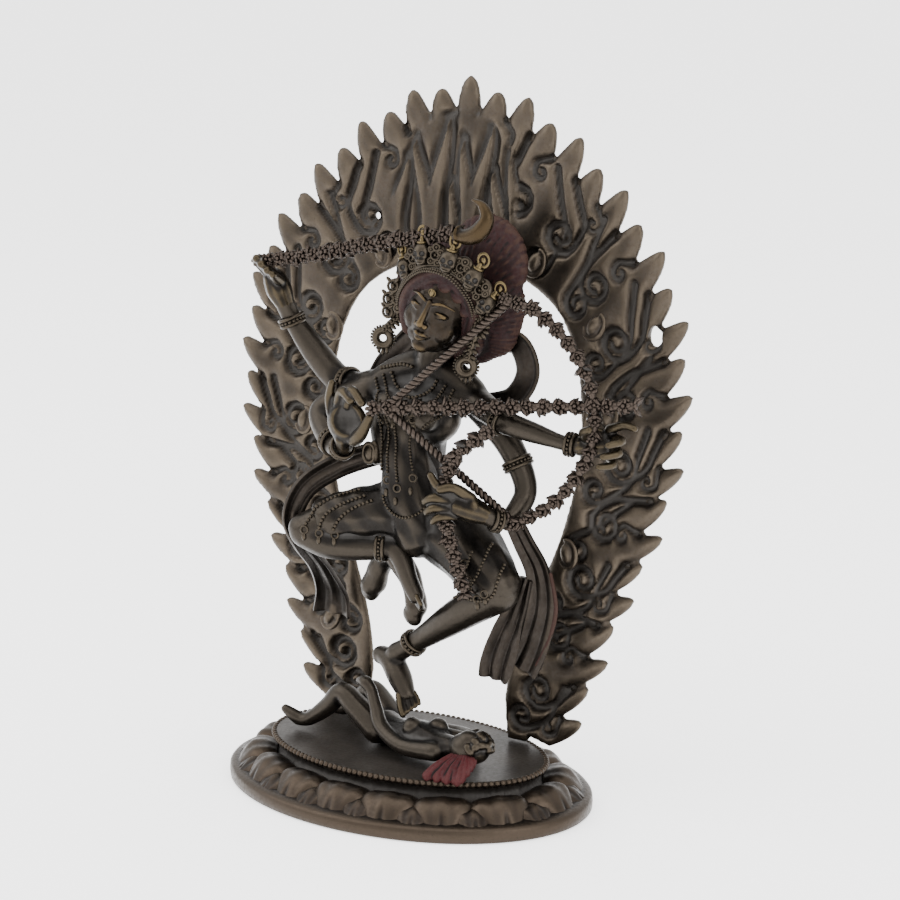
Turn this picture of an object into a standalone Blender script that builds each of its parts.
"""Kurukulla statue: a four-armed dancing figure with a flower bow, on a body underfoot,
before a flame aureole, on an oval lotus base. Metres, +Z up, the figure looks along -Y."""
import math

import bmesh
import bpy
from mathutils import Matrix, Vector

MM = 0.001

# Driving sizes, in millimetres
STATUE_HEIGHT = 159.0
GAP = 0.35  # clearance between pieces that touch

BASE_HALF_LENGTH = 45.0
BASE_HALF_DEPTH = 32.0
BASE_BAND_HEIGHT = 3.6
BASE_TOP = 10.4
BASE_TOP_INSET = 10.2
BASE_PETALS = 16
BASE_NECK_DEPTH = 1.6
BASE_RIM_HEIGHT = 1.3

AUREOLE_THICKNESS = 2.4
AUREOLE_FRONT = 14.5  # how far its front face stands behind the middle of the base
AUREOLE_LEAN = 0.04  # sideways shift for each millimetre of height
AUREOLE_LEAN_FROM = 100.0
AUREOLE_LEAN_BACK = 0.035
AUREOLE_TONGUES = 23
TONGUE_LENGTH = 8.0
SCROLL_RISE = 0.85
SCROLL_WIRE = 1.0
SCROLL_ROWS = [(0.56, 10, 0.0215, 0.06, 0.95), (0.25, 8, 0.017, 0.16, 0.97)]

GOAD_RADIUS = 1.15
BOW_RADIUS = 1.35
ARROW_RADIUS = 1.55
STRING_RADIUS = 0.75
GARLAND_RADIUS = 1.7
FLOWER_SWELL = 1.55  # a flower's radius over its stem's

FIGURE_VOXEL = 0.85
FIGURE_TRIANGLES = 2750
FALLEN_VOXEL = 0.85
FALLEN_TRIANGLES = 720


def clear_scene():
    for obj in list(bpy.data.objects):
        bpy.data.objects.remove(obj)


def collection(name):
    made = bpy.data.collections.new(name)
    bpy.context.scene.collection.children.link(made)
    return made


def material(name, colour, roughness, metallic=1.0):
    made = bpy.data.materials.new(name)
    made.use_nodes = True
    shader = made.node_tree.nodes["Principled BSDF"]
    shader.inputs["Base Color"].default_value = (*colour, 1.0)
    shader.inputs["Roughness"].default_value = roughness
    shader.inputs["Metallic"].default_value = metallic
    return made


def smooth_through(points, steps):
    """Points on a smooth curve through these, steps to each span. Extra numbers, such as radii, follow too."""
    rows = [tuple(map(float, p)) for p in points]
    ends = [rows[0], *rows, rows[-1]]
    found = []
    for i in range(len(rows) - 1):
        a, b, c, d = ends[i : i + 4]
        for k in range(steps):
            t = k / steps
            found.append(
                tuple(
                    0.5 * (2 * q + (r - p) * t + (2 * p - 5 * q + 4 * r - s) * t**2 + (3 * q - p - 3 * r + s) * t**3)
                    for p, q, r, s in zip(a, b, c, d)
                )
            )
    found.append(rows[-1])
    return found


def tube(name, points, sides=6, closed=False):
    """A tube along points of (x, y, z, radius) in millimetres, as a welded mesh object."""
    curve = bpy.data.curves.new(name, "CURVE")
    curve.dimensions = "3D"
    curve.bevel_depth = MM
    curve.bevel_resolution = (sides - 4) // 2
    curve.use_fill_caps = not closed
    spline = curve.splines.new("POLY")
    spline.use_cyclic_u = closed
    spline.points.add(len(points) - 1)
    for point, (x, y, z, radius) in zip(spline.points, points):
        point.co = (x * MM, y * MM, z * MM, 1.0)
        point.radius = radius
    shape = bpy.data.objects.new(name + "_line", curve)
    bpy.context.scene.collection.objects.link(shape)
    bpy.context.view_layer.update()
    graph = bpy.context.evaluated_depsgraph_get()
    mesh = bpy.data.meshes.new_from_object(shape.evaluated_get(graph))
    bpy.data.objects.remove(shape)
    weld(mesh)
    return new_object(name, mesh)


def new_object(name, mesh):
    made = bpy.data.objects.new(name, mesh)
    bpy.context.scene.collection.objects.link(made)
    return made


def weld(mesh):
    shape = bmesh.new()
    shape.from_mesh(mesh)
    bmesh.ops.remove_doubles(shape, verts=shape.verts, dist=1e-6)
    bmesh.ops.recalc_face_normals(shape, faces=shape.faces)
    shape.to_mesh(mesh)
    shape.free()


def ball(name, centre, radii, turn=(0, 0, 0), segments=12):
    """An ellipsoid: its centre and half axes in millimetres, its turn in degrees."""
    shape = bmesh.new()
    bmesh.ops.create_uvsphere(shape, u_segments=segments, v_segments=segments // 2 + 2, radius=MM)
    spin = [Matrix.Rotation(math.radians(angle), 4, axis) for angle, axis in zip(turn, "XYZ")]
    place = Matrix.Translation(Vector(centre) * MM) @ spin[2] @ spin[1] @ spin[0]
    bmesh.ops.transform(shape, matrix=place @ Matrix.Diagonal((*radii, 1.0)), verts=shape.verts)
    mesh = bpy.data.meshes.new(name)
    shape.to_mesh(mesh)
    shape.free()
    return new_object(name, mesh)


def joined(name, shapes):
    """One object that holds the faces of all these, still as separate shells."""
    whole = bmesh.new()
    for shape in shapes:
        whole.from_mesh(shape.data)
        bpy.data.objects.remove(shape)
    mesh = bpy.data.meshes.new(name)
    whole.to_mesh(mesh)
    whole.free()
    return new_object(name, mesh)


def fused(obj, voxel, triangles):
    """Live modifiers that fuse overlapping shells into one soft skin and thin its triangles."""
    skin = obj.modifiers.new("fuse", "REMESH")
    skin.mode = "VOXEL"
    skin.voxel_size = voxel * MM
    soften = obj.modifiers.new("soften", "SMOOTH")
    soften.factor = 0.5
    soften.iterations = 2
    graph = bpy.context.evaluated_depsgraph_get()
    full = len(obj.evaluated_get(graph).data.polygons) * 2
    thin = obj.modifiers.new("thin", "DECIMATE")
    thin.ratio = min(1.0, triangles / full)
    return obj


def boolean(obj, other, operation):
    cut = obj.modifiers.new(operation.lower(), "BOOLEAN")
    cut.operation = operation
    cut.object = other
    return obj


def baked(obj, name):
    """The object as evaluated, as a plain mesh object under its own name."""
    bpy.context.view_layer.update()
    graph = bpy.context.evaluated_depsgraph_get()
    mesh = bpy.data.meshes.new_from_object(obj.evaluated_get(graph))
    bpy.data.objects.remove(obj)
    mesh.name = name
    return new_object(name, mesh)


def keep_largest(obj):
    """Drops the crumbs that a cut or a fused skin may leave beside the main body."""
    shape = bmesh.new()
    shape.from_mesh(obj.data)
    left, islands = set(shape.verts), []
    while left:
        stack, island = [left.pop()], []
        while stack:
            vert = stack.pop()
            island.append(vert)
            for edge in vert.link_edges:
                other = edge.other_vert(vert)
                if other in left:
                    left.remove(other)
                    stack.append(other)
        islands.append(island)
    main = max(islands, key=len)
    crumbs = [vert for island in islands if island is not main for vert in island]
    bmesh.ops.delete(shape, geom=crumbs, context="VERTS")
    shape.to_mesh(obj.data)
    shape.free()
    return obj


def finish(obj, home, surface):
    for old in list(obj.users_collection):
        old.objects.unlink(obj)
    home.objects.link(obj)
    obj.data.materials.clear()
    obj.data.materials.append(surface)
    obj.data.shade_smooth()
    obj.data.set_sharp_from_angle(angle=math.radians(40))
    return obj


def as_cutter(obj, home):
    for old in list(obj.users_collection):
        old.objects.unlink(obj)
    home.objects.link(obj)
    obj.hide_render = True
    obj.display_type = "WIRE"
    return obj


# The oval lotus base: rings of one oval, each set in by its own amount
def lotus_base():
    # rows of (height, inset, how far a petal swells there)
    rim_foot = BASE_TOP - BASE_RIM_HEIGHT
    rows = [
        (0.0, 0.6, 0.0),
        (0.6, 0.0, 0.0),
        (BASE_BAND_HEIGHT - 0.5, 0.0, 0.0),
        (BASE_BAND_HEIGHT, 0.8, 0.5),
        (BASE_BAND_HEIGHT + 1.2, 1.0, 1.2),
        (BASE_BAND_HEIGHT + 2.9, 3.6, 1.3),
        (BASE_BAND_HEIGHT + 4.0, 7.4, 0.7),
        (rim_foot - 0.5, BASE_TOP_INSET + BASE_NECK_DEPTH, 0.0),
        (rim_foot + 0.3, BASE_TOP_INSET, 0.0),
        (BASE_TOP - 0.4, BASE_TOP_INSET, 0.0),
        (BASE_TOP, BASE_TOP_INSET + 0.7, 0.0),
    ]
    around = BASE_PETALS * 4
    shape = bmesh.new()
    rings = []
    for height, inset, swell in rows:
        ring = []
        for k in range(around):
            angle = math.tau * k / around
            petal = swell * (abs(math.sin(BASE_PETALS * angle / 2)) - 0.5)
            x = (BASE_HALF_LENGTH - inset + petal) * math.cos(angle)
            y = (BASE_HALF_DEPTH - inset + petal) * math.sin(angle)
            ring.append(shape.verts.new((x * MM, y * MM, height * MM)))
        rings.append(ring)
    for low, high in zip(rings, rings[1:]):
        for k in range(around):
            n = (k + 1) % around
            shape.faces.new((low[k], low[n], high[n], high[k]))
    shape.faces.new(list(reversed(rings[0])))
    shape.faces.new(rings[-1])
    mesh = bpy.data.meshes.new("lotus_base")
    shape.to_mesh(mesh)
    shape.free()
    return new_object("lotus_base", mesh)


# The flame aureole: a flat plate cut to a flame outline, with raised scrolls
# right half of the line through the flames' tips, and of the opening, as shares of the statue's height
TIP_LINE = [(0, 1.0), (0.075, 0.985), (0.175, 0.935), (0.26, 0.865), (0.327, 0.785), (0.37, 0.70), (0.386, 0.61),
            (0.383, 0.50), (0.352, 0.38), (0.312, 0.285), (0.278, 0.19), (0.238, 0.085)]
OPENING_LINE = [(0, 0.745), (0.083, 0.735), (0.16, 0.695), (0.201, 0.63), (0.217, 0.54), (0.214, 0.45),
                (0.186, 0.345), (0.152, 0.265), (0.128, 0.19), (0.119, 0.125), (0.128, 0.067)]


def along(line, share):
    """The point at this share of a line's length, and the direction there."""
    runs = [math.dist(a, b) for a, b in zip(line, line[1:])]
    left = share * sum(runs)
    for a, b, run in zip(line, line[1:], runs):
        if left <= run:
            return Vector(a).lerp(Vector(b), left / run), (Vector(b) - Vector(a)).normalized()
        left -= run
    return Vector(line[-1]), (Vector(line[-1]) - Vector(line[-2])).normalized()


def scaled(line):
    return [(x * STATUE_HEIGHT, z * STATUE_HEIGHT) for x, z in smooth_through(line, 6)]


def bowed(start, end, bend, steps):
    """The points strictly between two points, bowed to the left of the way from start to end."""
    way = (end - start).normalized()
    across = Vector((-way.y, way.x))
    return [start.lerp(end, k / steps) + across * bend * math.sin(math.pi * k / steps) for k in range(1, steps)]


def flame_outline():
    """The right half of the flames, from the top down, in millimetres."""
    tips = scaled(TIP_LINE)
    spread = AUREOLE_TONGUES - 0.45
    points = []
    for k in range(AUREOLE_TONGUES):
        tip, run = along(tips, k / spread)
        out = Vector((-run.y, run.x))
        # alternate tongues are a little shorter
        tip = tip - out * (k % 2) * TONGUE_LENGTH * 0.1
        notch, run = along(tips, min(1.0, (k + 0.5) / spread))
        out = Vector((-run.y, run.x))
        rise = 0.25 + 0.5 * min(1.0, 1.8 * k / spread)
        lean = (out * 0.75 + Vector((0.1, 0.85)) * rise).normalized()
        notch = notch - lean * TONGUE_LENGTH * (0.8 if k < 3 else 0.9)
        if points:
            points += bowed(points[-1], tip, -TONGUE_LENGTH * 0.06, 2)
        points.append(tip)
        points += bowed(tip, notch, TONGUE_LENGTH * 0.11, 2)
        points.append(notch)
    return points[:-1]


def set_in_place(x, y, z):
    """Where a point of the upright plate goes once the plate leans sideways and back."""
    return (x + (z - AUREOLE_LEAN_FROM) * AUREOLE_LEAN, y + (z - BASE_TOP) * AUREOLE_LEAN_BACK, z)


def scroll(name, centre, size, hand, turn):
    """A raised curl on the plate's front: a spiral that winds in to its middle."""
    points = []
    for k in range(7):
        t = k / 6
        angle = turn + hand * t * 0.92 * math.tau
        radius = size * (1.0 - 0.58 * t)
        x, z = centre.x + radius * math.cos(angle), centre.y + radius * math.sin(angle)
        points.append((x, AUREOLE_FRONT + SCROLL_WIRE - SCROLL_RISE, z, SCROLL_WIRE * (1.05 - 0.25 * t)))
    return tube(name, points, sides=4)


def aureole_plate():
    right = flame_outline()
    opening = [Vector(p) for p in scaled(OPENING_LINE)[::3]]
    sole = BASE_TOP + GAP
    opening[-1].y = sole
    right += [Vector((opening[-1].x + 5.5, sole + 1.5)), Vector((opening[-1].x + 5.0, sole))]
    # one closed line: down the right flames, up and over the opening, up the left flames
    whole = right + list(reversed(opening)) + [Vector((-p.x, p.y)) for p in opening[1:]]
    whole += [Vector((-p.x, p.y)) for p in reversed(right[1:])]
    curve = bpy.data.curves.new("aureole_line", "CURVE")
    curve.dimensions = "2D"
    curve.fill_mode = "BOTH"
    curve.extrude = AUREOLE_THICKNESS / 2 * MM
    spline = curve.splines.new("POLY")
    spline.use_cyclic_u = True
    spline.points.add(len(whole) - 1)
    for point, place in zip(spline.points, whole):
        point.co = (place.x * MM, place.y * MM, 0.0, 1.0)
    shape = bpy.data.objects.new("aureole_line", curve)
    shape.rotation_euler = (math.radians(90), 0, 0)
    shape.location = (0, (AUREOLE_FRONT + AUREOLE_THICKNESS / 2) * MM, 0)
    bpy.context.scene.collection.objects.link(shape)
    bpy.context.view_layer.update()
    graph = bpy.context.evaluated_depsgraph_get()
    mesh = bpy.data.meshes.new_from_object(shape.evaluated_get(graph))
    mesh.transform(shape.matrix_world)
    bpy.data.objects.remove(shape)
    weld(mesh)
    return new_object("flame_aureole", mesh)


def flame_aureole(helpers):
    plate = aureole_plate()
    tips, opening = scaled(TIP_LINE), scaled(OPENING_LINE)
    # rows of curls: how far from the opening to the tips, how many a side, size, first and last share of the way
    for part, count, size, first, last in SCROLL_ROWS:
        for side in (-1, 1):
            for k in range(count):
                share = first + (last - first) * k / (count - 1)
                centre = along(opening, share)[0].lerp(along(tips, share)[0], part)
                hand = side * (1 if k % 2 else -1)
                turn = math.radians(90 + 40 * side) + k * 0.7 * side
                place = Vector((side * centre.x, centre.y))
                curl = scroll(f"curl_{part}_{side}_{k}", place, size * STATUE_HEIGHT, hand, turn)
                boolean(plate, as_cutter(curl, helpers), "UNION")
    plate = keep_largest(baked(plate, "flame_aureole"))
    for vert in plate.data.vertices:
        vert.co = Vector(set_in_place(*(vert.co / MM))) * MM
    return plate


# Flowered stems: tubes whose radius swells at each flower
def flowered(name, line, radius, flower_step, sides=6, grow=0.0):
    """A stem along (x, y, z) points, with a swelling for a flower every flower_step millimetres."""
    fine = smooth_through([(*p, 0.0) for p in line], 8)
    fine = [Vector(p[:3]) for p in fine]
    runs = [(b - a).length for a, b in zip(fine, fine[1:])]
    total = sum(runs)
    count = max(2, round(total / flower_step))
    points = []
    for k in range(2 * count + 1):
        want, i = total * k / (2 * count), 0
        while i < len(runs) - 1 and want > runs[i]:
            want -= runs[i]
            i += 1
        place = fine[i].lerp(fine[i + 1], min(1.0, want / runs[i]))
        swell = FLOWER_SWELL if k % 2 else 0.85
        points.append((*place, radius * swell + grow))
    return tube(name, points, sides)


# The bow, its drawn string and the arrow, cast as one
BOW_LINE = [(27.5, -2.5, 115.0), (34.5, -1.5, 113.0), (41.0, -0.5, 108.0), (45.5, 1.0, 101.0),
            (47.6, 1.5, 93.0), (47.0, 1.5, 84.5), (42.5, 0.5, 76.0), (36.5, -1.0, 70.0), (29.5, -2.5, 66.0)]
ARROW_NOCK = (0.4, -13.0, 90.0)
ARROW_TIP = (55.5, 4.5, 94.0)


def bow_and_arrow(name, grow=0.0):
    stems = [
        flowered(name + "_bow", BOW_LINE, BOW_RADIUS, 4.6, 8, grow),
        flowered(name + "_arrow", [ARROW_NOCK, ARROW_TIP], ARROW_RADIUS, 5.2, 8, grow),
    ]
    meet = Vector(ARROW_NOCK).lerp(Vector(ARROW_TIP), 0.06)
    for end, tip in ((BOW_LINE[1], BOW_LINE[0]), (BOW_LINE[-2], BOW_LINE[-1])):
        start = Vector(tip).lerp(Vector(end), 0.15)
        line = [start.lerp(meet, k / 5) for k in range(6)]
        stems.append(tube(name + "_string", [(*p, STRING_RADIUS + grow) for p in line], 6))
    return stems


# The flower goad: a stem with a curled hook
GOAD_LINE = [(-38.5, -3.5, 117.4), (-22.0, -5.0, 120.3), (-4.0, -7.0, 124.6), (15.0, -8.0, 128.8)]
HOOK_LINE = [(15.0, -8.0, 128.8, 1.5), (19.5, -8.2, 128.4, 1.9), (24.0, -8.2, 129.6, 2.2),
             (26.3, -8.0, 133.0, 1.9), (24.8, -7.8, 135.9, 1.3), (22.0, -7.8, 136.6, 0.7)]


def goad(name, grow=0.0):
    hook = [(x, y, z, radius + grow) for x, y, z, radius in HOOK_LINE]
    return [flowered(name + "_stem", GOAD_LINE, GOAD_RADIUS, 5.0, 8, grow), tube(name + "_hook", hook, 8)]


# The flower noose that hangs from the lower left hand
GARLAND_LINE = [(27.0, -8.0, 87.0), (21.0, -9.5, 82.5), (17.8, -10.0, 76.0), (17.3, -10.0, 70.0),
                (18.0, -9.6, 64.0), (20.0, -9.3, 57.0), (21.8, -8.6, 50.5)]


def garland(name, grow=0.0):
    return [flowered(name, GARLAND_LINE, GARLAND_RADIUS, 4.4, 8, grow)]


def united(name, stems, helpers):
    first, *others = stems
    for other in others:
        as_cutter(other, helpers)
        boolean(first, other, "UNION")
    return keep_largest(baked(first, name))


# The dancing figure: limbs as tapered tubes of (x, y, z, radius), fused into one skin
FIGURE_LIMBS = {
    "torso": [(6, 3, 60, 7.0), (4.5, 3.5, 66, 6.3), (3.4, 3.6, 72, 5.0), (2.8, 3, 79, 6.0), (2.5, 3, 87, 6.6)],
    "neck": [(3.0, 3, 92, 4.2), (4.8, 2, 97, 2.9), (6.8, 0.5, 102, 2.9)],
    "shoulders": [(-11.5, 3, 91, 3.7), (-4, 3, 92.5, 4.3), (9, 3, 92.5, 4.3), (16.5, 2.7, 91, 3.7)],
    "raised_arm": [(-11.5, 3, 91, 3.5), (-18, 5.5, 89.5, 3.1), (-24, 6, 90.5, 2.8), (-29, 4.5, 96.5, 2.5),
                   (-34, 2.8, 103.5, 1.8), (-35.3, 1.5, 107.5, 2.3), (-36.2, 0.2, 111.5, 2.7)],
    "raised_fingers": [(-36.2, 0.2, 111.5, 2.2), (-37.8, -1.0, 115.0, 1.6), (-39.5, -2.6, 120.0, 1.0)],
    "raised_thumb": [(-35.2, -0.5, 110.8, 1.5), (-33.2, -3.4, 113.8, 1.1), (-33.0, -5.2, 117.0, 0.9)],
    "drawing_arm": [(-11.5, 2.5, 90.5, 3.4), (-15.5, 2, 82, 3.1), (-15.5, -1, 76.5, 2.9), (-12, -6, 77.5, 2.6),
                    (-9.8, -9, 79.8, 2.1)],
    "drawing_palm": [(-9.8, -9, 79.8, 2.1), (-9.0, -10.5, 83.5, 3.1), (-8.6, -11.2, 87.5, 3.0)],
    "drawing_index": [(-10.8, -11, 88, 1.3), (-12.3, -11.4, 91.5, 1.1), (-12.6, -12, 95.2, 0.9)],
    "drawing_middle": [(-8.8, -11.2, 89, 1.4), (-7.2, -13.0, 92.6, 1.1), (-4.8, -14.6, 90.8, 0.95)],
    "drawing_ring": [(-7.5, -11.2, 89, 1.4), (-5.0, -12.6, 93.0, 1.1), (-2.2, -14.4, 92.0, 0.95)],
    "drawing_thumb": [(-7.5, -10.8, 82.5, 1.6), (-4.2, -12.6, 84.5, 1.3), (-1.6, -13.4, 87.4, 0.95)],
    "bow_arm": [(16.5, 2.7, 91, 3.4), (22, 0.5, 89.5, 3.1), (27, -1, 88, 2.9), (33, 0.8, 86.2, 2.4),
                (39.5, 2.2, 84.6, 1.9), (43.5, 3.2, 84.2, 2.6), (48.0, 4.6, 84.4, 3.1)],
    "bow_grip": [(50.5, 4.2, 87.0, 1.5), (51.6, 1.0, 86.6, 1.3), (50.0, -1.6, 86.2, 1.1)],
    "bow_grip_low": [(50.2, 4.4, 83.4, 1.5), (51.4, 1.2, 82.6, 1.3), (49.4, -1.6, 82.2, 1.1)],
    "bow_point": [(50.0, 4.2, 88.5, 1.3), (54.0, 3.2, 89.8, 1.0), (57.0, 2.2, 89.6, 0.9)],
    "bow_thumb": [(45.0, 2.0, 86.0, 1.5), (46.2, -1.2, 87.4, 1.2)],
    "noose_arm": [(16.5, 3.2, 90, 3.4), (24, 4.5, 82, 3.1), (28.8, 4, 73.5, 2.8), (28.9, 1, 69.0, 2.5),
                  (27.6, -3.5, 66.8, 2.0), (25.2, -6.0, 68.4, 2.7), (22.8, -7.6, 70.0, 2.5)],
    "noose_fingers": [(23.5, -8.4, 72.0, 1.3), (20.0, -12.4, 73.4, 1.1), (16.2, -13.0, 73.2, 0.9)],
    "noose_fingers_mid": [(23.0, -8.8, 70.4, 1.3), (19.6, -12.6, 71.0, 1.1), (15.6, -12.8, 70.8, 0.9)],
    "noose_fingers_low": [(23.5, -8.4, 68.6, 1.4), (20.6, -12.0, 67.6, 1.2), (17.6, -13.0, 67.2, 0.95)],
    "raised_thigh": [(3, 2, 63, 7.6), (-6, -3.5, 65, 6.6), (-13.5, -8, 63, 5.5), (-19.5, -11, 59.5, 4.4)],
    "raised_shin": [(-19.5, -11, 59.5, 4.4), (-14, -9.4, 57.2, 3.9), (-6, -6.5, 56.8, 3.3), (-1.5, -4.8, 56.9, 2.7)],
    "raised_foot": [(-2.6, -4.6, 58.4, 2.6), (1.2, -4.4, 55.4, 2.7), (3.8, -4.8, 50.6, 2.4), (6.0, -4.6, 46.6, 2.2),
                    (7.2, -4.2, 44.4, 1.5)],
    "standing_thigh": [(8, 3.5, 60, 7.8), (15, 2, 57.5, 7.4), (21, 0.5, 53.5, 6.2), (25, -0.5, 50, 4.8)],
    "standing_shin": [(25, -0.5, 50, 4.8), (19, -0.8, 46.2, 4.2), (12, -0.6, 41.5, 3.7), (5, 0, 36.6, 2.8),
                      (0, 0.2, 33.2, 2.4)],
    "standing_foot": [(-4.6, 1.0, 31.4, 2.4), (-2.4, 0, 29.6, 2.6), (0.6, -1.2, 26.4, 2.6), (3.2, -2.4, 22.9, 2.4),
                      (5.2, -3.6, 20.3, 1.7)],
    "hair_lock_left": [(4, 3, 118, 5), (-1, 4, 112, 6), (-3, 4, 105, 4.5)],
    "shawl_left": [(1.5, 5.5, 106.5, 2.0), (-5.5, 6, 101, 2.0), (-11, 6, 95.5, 2.1), (-13.5, 4, 90.5, 2.2)],
    "shawl_right": [(18, 6, 103.5, 1.9), (24.5, 7, 103.2, 2.1), (26.5, 7, 97.6, 2.2), (23.0, 6.5, 92.0, 2.2),
                    (17.5, 5, 90.5, 2.2)],
    "shawl_elbow_left": [(-15.5, 1, 77, 2.0), (-18.5, -2, 73, 2.0), (-21.6, -7, 68, 2.1), (-22.6, -9.0, 61, 2.2),
                         (-22.0, -6.0, 54, 2.1), (-25.4, 1.5, 47.5, 2.2), (-28.5, 8.8, 39.5, 2.9),
                         (-30.0, 10.2, 34.0, 2.6)],
    "shawl_fall_right": [(25, 3, 68, 2.0), (28.5, 5, 61, 2.1), (32.5, 6.5, 54, 2.5), (33.8, 7, 46, 2.9),
                         (31.0, 7, 38.5, 3.0), (26.0, 6, 32.5, 3.0)],
    "shawl_tail_right": [(25.5, 3.5, 45, 3.0), (23.5, 4, 38, 3.0), (21.6, 4, 31.5, 2.4), (20.8, 4, 27.5, 1.6)],
    "shawl_bridge": [(24, 1, 50, 3.0), (29, 4, 47, 3.0), (33, 6.5, 45, 2.6)],
    "skirt_tail": [(-3, 0, 58, 3.0), (-8.5, 2, 50.5, 3.0), (-12.0, 2.5, 44.5, 3.4), (-11.6, 2.5, 41.6, 2.6)],
    "skirt_hem": [(-4, 0, 54, 2.8), (0.5, 0.5, 48, 2.8), (3.5, 0.5, 42.5, 2.6), (2.2, 0, 39.4, 2.6)],
    "skirt_hem_link": [(3.5, 0.5, 42.5, 2.6), (9, 1.0, 46, 3.8), (13, 1.5, 51, 5.0)],
    "crown_band": [(0.2, -4.0, 108.5, 1.3), (1.6, -8.0, 112.6, 1.5), (6.4, -10.0, 115.6, 1.6),
                   (12.4, -8.8, 114.6, 1.6), (16.4, -4.8, 110.6, 1.5), (17.2, -1.0, 106.5, 1.3)],
}
FIGURE_BALLS = [
    ("chest", (2.5, 2.6, 86.5), (10.0, 6.0, 7.6), (0, 0, 0)),
    ("hips", (6.0, 3, 62), (9.0, 7.0, 7.2), (0, 0, 0)),
    ("breast_right", (-2.6, -2.2, 86.5), (3.3, 3.0, 3.2), (0, 0, 0)),
    ("breast_left", (6.6, -2.4, 86.8), (3.3, 3.0, 3.2), (0, 0, 0)),
    ("skull", (9.2, -1.0, 110.0), (6.3, 6.8, 7.2), (0, 12, 0)),
    ("face", (7.9, -3.4, 107.0), (5.2, 5.0, 6.8), (0, 12, 0)),
    ("hair", (11.0, 4.5, 113.0), (15.5, 5.6, 15.6), (0, 8, 0)),
    ("hair_top", (16.5, 3.5, 121.5), (9.0, 4.2, 8.0), (0, 20, 0)),
    ("ear_disc_left", (-2.6, -2.5, 100.6), (2.7, 1.3, 2.9), (0, 0, 0)),
    ("ear_link_left", (0.6, -1.8, 104.4), (2.4, 1.6, 2.6), (0, 0, 0)),
    ("ear_disc_right", (14.8, -3.6, 98.2), (2.6, 1.4, 2.8), (0, 0, 0)),
    ("ear_link_right", (14.6, -2.6, 102.2), (2.0, 1.8, 2.8), (0, 0, 0)),
    ("skirt_knee", (22.5, 0.5, 52.0), (6.2, 6.4, 5.4), (0, 25, 0)),
]
# five small skulls round the crown, each with a jewel above
CROWN_SKULLS = [(-0.6, -6.2, 111.6), (2.6, -9.6, 116.0), (8.2, -10.6, 117.6), (13.8, -8.6, 115.4), (17.2, -4.6, 110.4)]


def figure_shapes():
    shapes = [tube(name, smooth_through(line, 3), 8) for name, line in FIGURE_LIMBS.items()]
    shapes += [ball(name, centre, radii, turn) for name, centre, radii, turn in FIGURE_BALLS]
    for k, (x, y, z) in enumerate(CROWN_SKULLS):
        lean_out = (x - 8.2) * 0.12
        shapes.append(ball(f"crown_skull_{k}", (x, y, z), (1.9, 1.8, 2.1)))
        shapes.append(ball(f"crown_jewel_{k}", (x + lean_out, y + 0.6, z + 3.2), (1.3, 1.0, 2.0)))
    return shapes


# The body underfoot: lying on its back, with its knees raised
FALLEN_LIMBS = {
    "trunk": [(-4, -3, 14.6, 4.0), (2, -5, 14.4, 3.8), (9, -7, 15.2, 4.4), (15, -8.6, 15.4, 3.2), (20, -9.4, 16, 3.0)],
    "front_leg": [(-5, -5, 14.2, 3.6), (-11, -4.8, 18.4, 3.1), (-15.2, -4.6, 20.8, 2.6), (-19, -4.8, 17.0, 2.4),
                  (-24, -5.2, 13.2, 1.9), (-29.4, -5.8, 12.8, 1.7)],
    "back_leg": [(-5, 1, 14.2, 3.6), (-10, 3.4, 17.4, 3.1), (-13.6, 4.4, 19.4, 2.6), (-17.5, 5, 16.4, 2.4),
                 (-22, 5.6, 13.2, 1.9), (-27.0, 6.0, 12.8, 1.7)],
    "near_arm": [(15.5, -11.5, 14.8, 2.5), (7, -11.4, 14.4, 2.2), (-0.2, -9.4, 16.6, 2.0), (-3.2, -7.8, 20.4, 1.8),
                 (-5.6, -6.4, 24.2, 1.7)],
    "far_arm": [(13.5, -4, 15.5, 2.5), (17, 0.6, 14.0, 2.2), (12, 5.0, 13.4, 2.0), (6, 6.4, 13.0, 1.8)],
    "hair": [(22, -11.5, 16.0, 3.2), (20.4, -14.0, 13.8, 2.9), (18.4, -15.8, 12.6, 2.2)],
}
FALLEN_BALLS = [
    ("head", (23.0, -9.6, 16.6), (4.4, 4.0, 3.9), (0, 0, 0)),
    ("breast_near", (7.6, -8.6, 18.4), (2.4, 2.4, 2.3), (0, 0, 0)),
    ("breast_far", (12.4, -5.6, 18.4), (2.4, 2.4, 2.3), (0, 0, 0)),
    ("seat", (-4, -2, 13.6), (4.6, 5.2, 3.6), (0, 0, 0)),
]


def fallen_shapes():
    shapes = [tube(name, smooth_through(line, 3), 8) for name, line in FALLEN_LIMBS.items()]
    return shapes + [ball(name, centre, radii, turn) for name, centre, radii, turn in FALLEN_BALLS]


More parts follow.
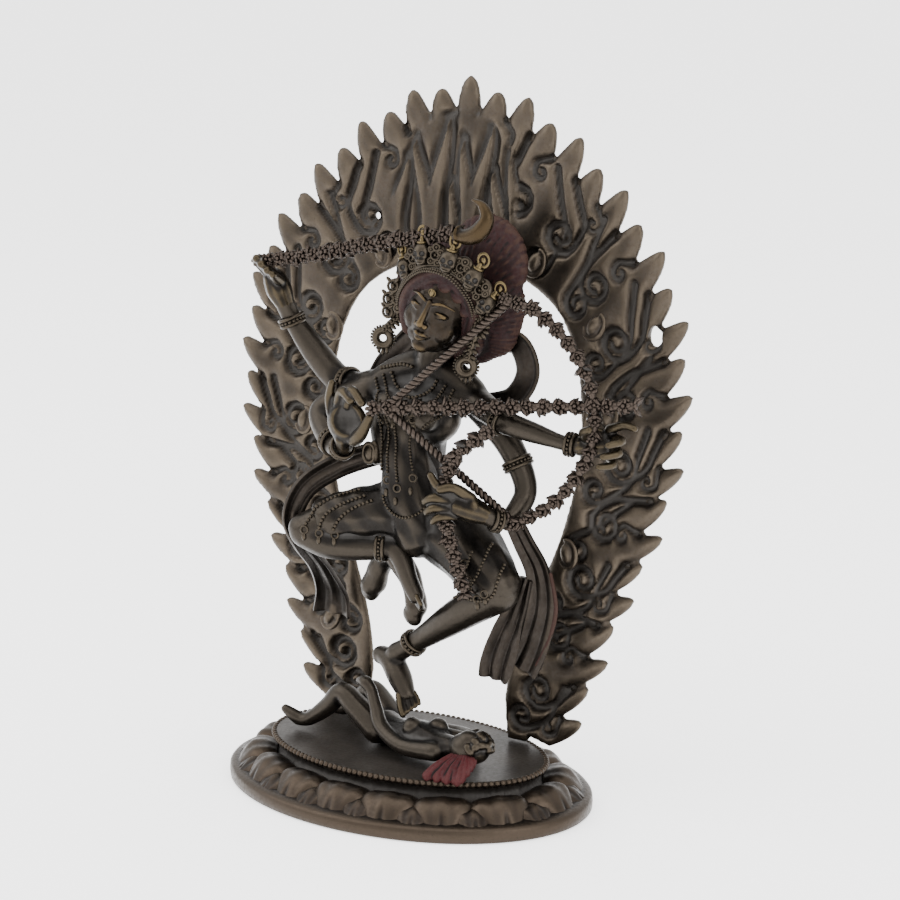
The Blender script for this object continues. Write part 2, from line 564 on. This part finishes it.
def slab(name, low, high):
    """A box between two corners in millimetres."""
    shape = bmesh.new()
    bmesh.ops.create_cube(shape, size=1.0)
    size = [b - a for a, b in zip(low, high)]
    middle = [(a + b) / 2 for a, b in zip(low, high)]
    place = Matrix.Translation(Vector(middle) * MM) @ Matrix.Diagonal((*[s * MM for s in size], 1.0))
    bmesh.ops.transform(shape, matrix=place, verts=shape.verts)
    mesh = bpy.data.meshes.new(name)
    shape.to_mesh(mesh)
    shape.free()
    return new_object(name, mesh)


def main():
    clear_scene()
    statue, helpers = collection("kurukulla_statue"), collection("cutters")
    bronze = material("aged_bronze", (0.16, 0.115, 0.075), 0.42)
    flame = material("flame_bronze", (0.27, 0.21, 0.145), 0.45)
    dark = material("dark_bronze", (0.10, 0.075, 0.055), 0.4)
    flower = material("flower_bronze", (0.15, 0.10, 0.08), 0.45)

    finish(lotus_base(), statue, dark)
    finish(flame_aureole(helpers), statue, flame)

    under = as_cutter(slab("base_clearance", (-60, -60, -20), (60, 60, BASE_TOP + GAP)), helpers)
    fallen = fused(joined("fallen_figure", fallen_shapes()), FALLEN_VOXEL, FALLEN_TRIANGLES)
    boolean(fallen, under, "DIFFERENCE")
    fallen = keep_largest(baked(fallen, "fallen_figure"))
    finish(fallen, statue, bronze)

    finish(united("bow_and_arrow", bow_and_arrow("bow"), helpers), statue, flower)
    finish(united("flower_goad", goad("goad"), helpers), statue, flower)
    finish(united("flower_noose", garland("noose"), helpers), statue, flower)

    figure = fused(joined("kurukulla_figure", figure_shapes()), FIGURE_VOXEL, FIGURE_TRIANGLES)
    for name, maker in (("bow", bow_and_arrow), ("goad", goad), ("noose", garland)):
        room = united(name + "_room", maker(name + "_room_shape", GAP + 0.15), helpers)
        boolean(figure, as_cutter(room, helpers), "DIFFERENCE")
    pressed = fused(joined("fallen_room", fallen_shapes()), FALLEN_VOXEL, FALLEN_TRIANGLES * 2)
    grow = pressed.modifiers.new("grow", "DISPLACE")
    grow.strength = (GAP + 0.35) * MM
    grow.mid_level = 0.0
    boolean(figure, as_cutter(pressed, helpers), "DIFFERENCE")
    figure = keep_largest(baked(figure, "kurukulla_figure"))
    finish(figure, statue, bronze)


main()
